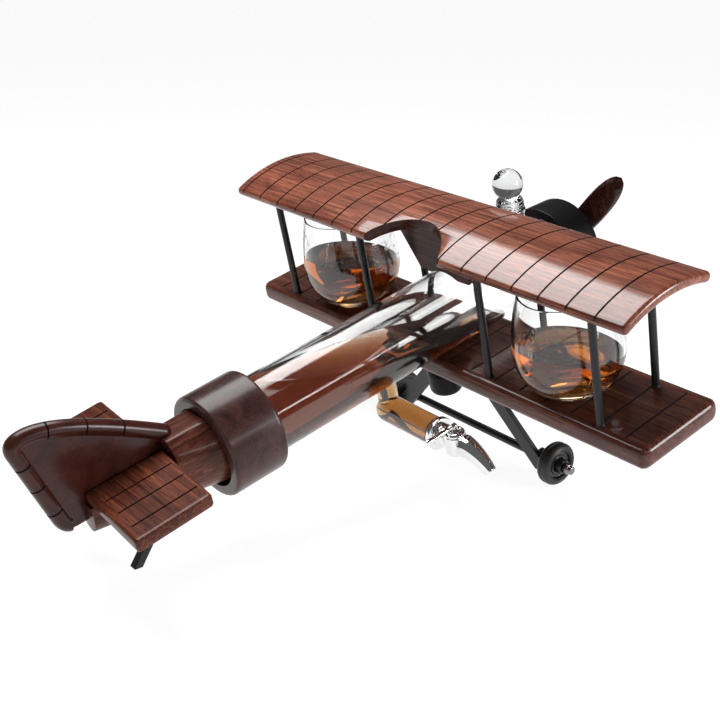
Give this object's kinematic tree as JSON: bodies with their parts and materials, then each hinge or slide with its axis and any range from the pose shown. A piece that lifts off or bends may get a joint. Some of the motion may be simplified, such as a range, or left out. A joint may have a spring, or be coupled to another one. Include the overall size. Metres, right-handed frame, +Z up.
{
  "type": "biplane drinks decanter stand",
  "caption": "Wooden biplane stand with a glass tube decanter as fuselage, side tap, spinning propeller and wheels, and tumblers standing between the wings.",
  "frame": {"origin": "on the surface the object stands on, under the middle of its bounding box", "axes": "+X towards the right wing tip, +Y towards the nose, +Z up; the airframe is pitched nose-up by 13.8 degrees about X"},
  "size_m": [0.459, 0.557, 0.2432],
  "materials": {
    "wood": "varnished",
    "dark_wood": "varnished",
    "black_metal": "satin",
    "black_plastic": "gloss",
    "rubber": "matte",
    "tyre": "satin",
    "chrome": "polished",
    "clear_glass": "clear"
  },
  "bodies": {
    "airframe": {"lower_wing": "wood", "upper_wing": "wood", "wing_saddle": "dark_wood", "strut_left_outer_rear": "black_metal", "strut_left_inner_rear": "black_metal", "strut_right_inner_rear": "black_metal", "strut_right_outer_rear": "black_metal", "strut_left_outer_front": "black_metal", "strut_left_inner_front": "black_metal", "strut_right_inner_front": "black_metal", "strut_right_outer_front": "black_metal", "decanter_tube": "clear_glass", "decanter_neck": "clear_glass", "decanter_outlet": "clear_glass", "tail_collar": "dark_wood", "tail_block": "wood", "tail_fin": "dark_wood", "stabilizer_left": "wood", "stabilizer_right": "wood", "tail_skid": "black_metal", "engine_cowl": "black_metal", "gear_plate": "black_metal", "gear_leg_left": "black_metal", "gear_leg_right": "black_metal", "axle": "black_metal", "axle_clip_left": "black_metal", "axle_clip_right": "black_metal", "axle_nut_left": "black_metal", "axle_nut_right": "black_metal", "underwing_knob": "black_plastic", "tap_gasket": "rubber", "tap_flange": "chrome", "tap_body": "chrome", "tap_spout": "chrome"},
    "propeller_body": {"propeller": "dark_wood", "propeller_shaft": "chrome", "propeller_cap": "chrome"},
    "wheel_left": {"tyre_left": "tyre", "wheel_hub_left": "black_plastic"},
    "wheel_right": {"tyre_right": "tyre", "wheel_hub_right": "black_plastic"},
    "stopper_body": {"stopper": "clear_glass"},
    "tap_lever_body": {"tap_lever": "chrome"},
    "tumbler_left_body": {"tumbler_left": "clear_glass"},
    "tumbler_right_body": {"tumbler_right": "clear_glass"}
  },
  "joints": [
    {"name": "propeller_spin", "type": "hinge", "parent": "airframe", "child": "propeller_body", "pos_m": [0, 0.26137, 0.17261], "axis": [0, 0.9711, 0.2385], "continuous": true},
    {"name": "wheel_left_spin", "type": "hinge", "parent": "airframe", "child": "wheel_left", "pos_m": [-0.0957, 0.15174, 0.0182], "axis": [1, 0, 0], "continuous": true},
    {"name": "wheel_right_spin", "type": "hinge", "parent": "airframe", "child": "wheel_right", "pos_m": [0.0957, 0.15174, 0.0182], "axis": [1, 0, 0], "continuous": true},
    {"name": "stopper_lift", "type": "slide", "parent": "airframe", "child": "stopper_body", "axis": [0, -0.2385, 0.9711], "range_m": [0, 0.06]},
    {"name": "tap_lever_turn", "type": "hinge", "parent": "airframe", "child": "tap_lever_body", "pos_m": [0.078, 0.05262, 0.06037], "axis": [0, -0.2385, 0.9711], "range_deg": [0, 90]},
    {"name": "tumbler_left_slide", "type": "slide", "parent": "airframe", "child": "tumbler_left_body", "axis": [0, -0.9711, -0.2385], "range_m": [0, 0.16]},
    {"name": "tumbler_right_slide", "type": "slide", "parent": "airframe", "child": "tumbler_right_body", "axis": [0, -0.9711, -0.2385], "range_m": [0, 0.16]}
  ]
}
